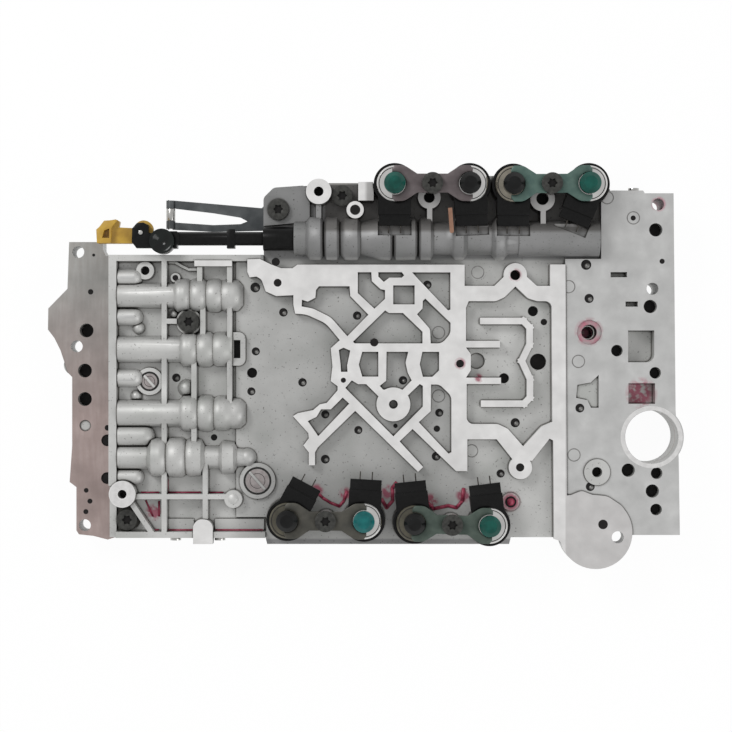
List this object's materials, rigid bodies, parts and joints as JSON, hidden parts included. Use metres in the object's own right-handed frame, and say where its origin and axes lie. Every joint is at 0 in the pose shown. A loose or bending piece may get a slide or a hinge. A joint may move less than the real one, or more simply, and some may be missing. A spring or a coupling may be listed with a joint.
{
  "type": "gearbox valve body",
  "caption": "Automatic gearbox hydraulic valve body with cast aluminium housings, solenoids under straps, a sliding selector rod and a sprung detent roller",
  "frame": {"origin": "middle of the gearbox face, at the underside of the lower housing", "axes": "+Z from the gearbox face up to the solenoids, +X along the selector rod away from its slider, +Y to the selector side"},
  "size_m": [0.3736, 0.2364, 0.056],
  "materials": {
    "cast_aluminium": "as cast, sealing lands milled bright",
    "plate_steel": "dull rolled steel, pinkish grey",
    "bright_steel": "ground",
    "can_steel": "bright plated, drawn",
    "dark_steel": "blackened, lightly worn",
    "strap_steel": "phosphated grey green",
    "spring_steel": "hardened strip, satin",
    "black_plastic": "glass-filled, satin",
    "green_plastic": "satin gloss",
    "teal_plastic": "satin gloss",
    "yellow_plastic": "satin",
    "red_rubber": "soft silicone",
    "magnet_grey": "sintered, dark"
  },
  "bodies": {
    "housing": {"lower_housing": "cast_aluminium", "separator_plate": "plate_steel", "valve_housing": "cast_aluminium", "spool_spring_1": "spring_steel", "strap_1": "strap_steel", "spool_spring_2": "spring_steel", "strap_2": "strap_steel", "spool_spring_3": "spring_steel", "strap_3": "strap_steel", "spool_spring_4": "spring_steel", "strap_4": "strap_steel", "solenoid_can_1": "can_steel", "solenoid_connector_1": "black_plastic", "solenoid_cap_1": "green_plastic", "solenoid_can_2": "can_steel", "solenoid_connector_2": "black_plastic", "solenoid_cap_2": "black_plastic", "solenoid_can_3": "can_steel", "solenoid_connector_3": "black_plastic", "solenoid_cap_3": "black_plastic", "solenoid_can_4": "can_steel", "solenoid_connector_4": "black_plastic", "solenoid_cap_4": "green_plastic", "solenoid_can_5": "can_steel", "solenoid_connector_5": "black_plastic", "solenoid_cap_5": "black_plastic", "solenoid_can_6": "can_steel", "solenoid_connector_6": "black_plastic", "solenoid_cap_6": "teal_plastic", "solenoid_can_7": "can_steel", "solenoid_connector_7": "black_plastic", "solenoid_cap_7": "black_plastic", "solenoid_can_8": "can_steel", "solenoid_connector_8": "black_plastic", "solenoid_cap_8": "green_plastic", "bore_plugs": "bright_steel", "rod_guide": "black_plastic", "detent_spring": "spring_steel", "contact_blades": "bright_steel", "strap_screws": "dark_steel", "housing_screws": "dark_steel", "corner_bracket": "dark_steel", "corner_screw": "dark_steel", "side_plugs": "bright_steel", "tube_sleeve": "bright_steel", "sleeve_seal": "red_rubber"},
    "selector": {"selector_rod": "black_plastic", "selector_slider": "yellow_plastic", "coupling_pin": "bright_steel", "magnet_holder": "black_plastic", "position_magnet": "magnet_grey", "selector_spool": "bright_steel"},
    "detent_end": {"roller_pin": "bright_steel"},
    "detent_wheel": {"detent_roller": "bright_steel"},
    "regulator_1": {"regulator_spool_1": "bright_steel"},
    "regulator_2": {"regulator_spool_2": "bright_steel"},
    "regulator_3": {"regulator_spool_3": "bright_steel"},
    "regulator_4": {"regulator_spool_4": "bright_steel"}
  },
  "joints": [
    {"name": "selector_slide", "type": "slide", "parent": "housing", "child": "selector", "axis": [1, 0, 0], "range_m": [-0.012, 0.012]},
    {"name": "detent_bend", "type": "hinge", "parent": "housing", "child": "detent_end", "pos_m": [-0.061, 0.0872, 0.0187], "axis": [0, 1, 0], "range_deg": [-1, 6], "stiffness_Nm_per_rad": 3, "deforming": ["detent_spring"]},
    {"name": "detent_roller_turn", "type": "hinge", "parent": "detent_end", "child": "detent_wheel", "pos_m": [-0.1153, 0.0893, 0.0187], "axis": [0, 1, 0], "continuous": true},
    {"name": "regulator_slide_1", "type": "slide", "parent": "housing", "child": "regulator_1", "axis": [1, 0, 0], "range_m": [0, 0.006], "stiffness_N_per_m": 300, "springref_m": -0.006, "deforming": ["spool_spring_1"]},
    {"name": "regulator_slide_2", "type": "slide", "parent": "housing", "child": "regulator_2", "axis": [1, 0, 0], "range_m": [0, 0.006], "stiffness_N_per_m": 300, "springref_m": -0.006, "deforming": ["spool_spring_2"]},
    {"name": "regulator_slide_3", "type": "slide", "parent": "housing", "child": "regulator_3", "axis": [1, 0, 0], "range_m": [0, 0.006], "stiffness_N_per_m": 300, "springref_m": -0.006, "deforming": ["spool_spring_3"]},
    {"name": "regulator_slide_4", "type": "slide", "parent": "housing", "child": "regulator_4", "axis": [1, 0, 0], "range_m": [0, 0.006], "stiffness_N_per_m": 300, "springref_m": -0.006, "deforming": ["spool_spring_4"]}
  ]
}
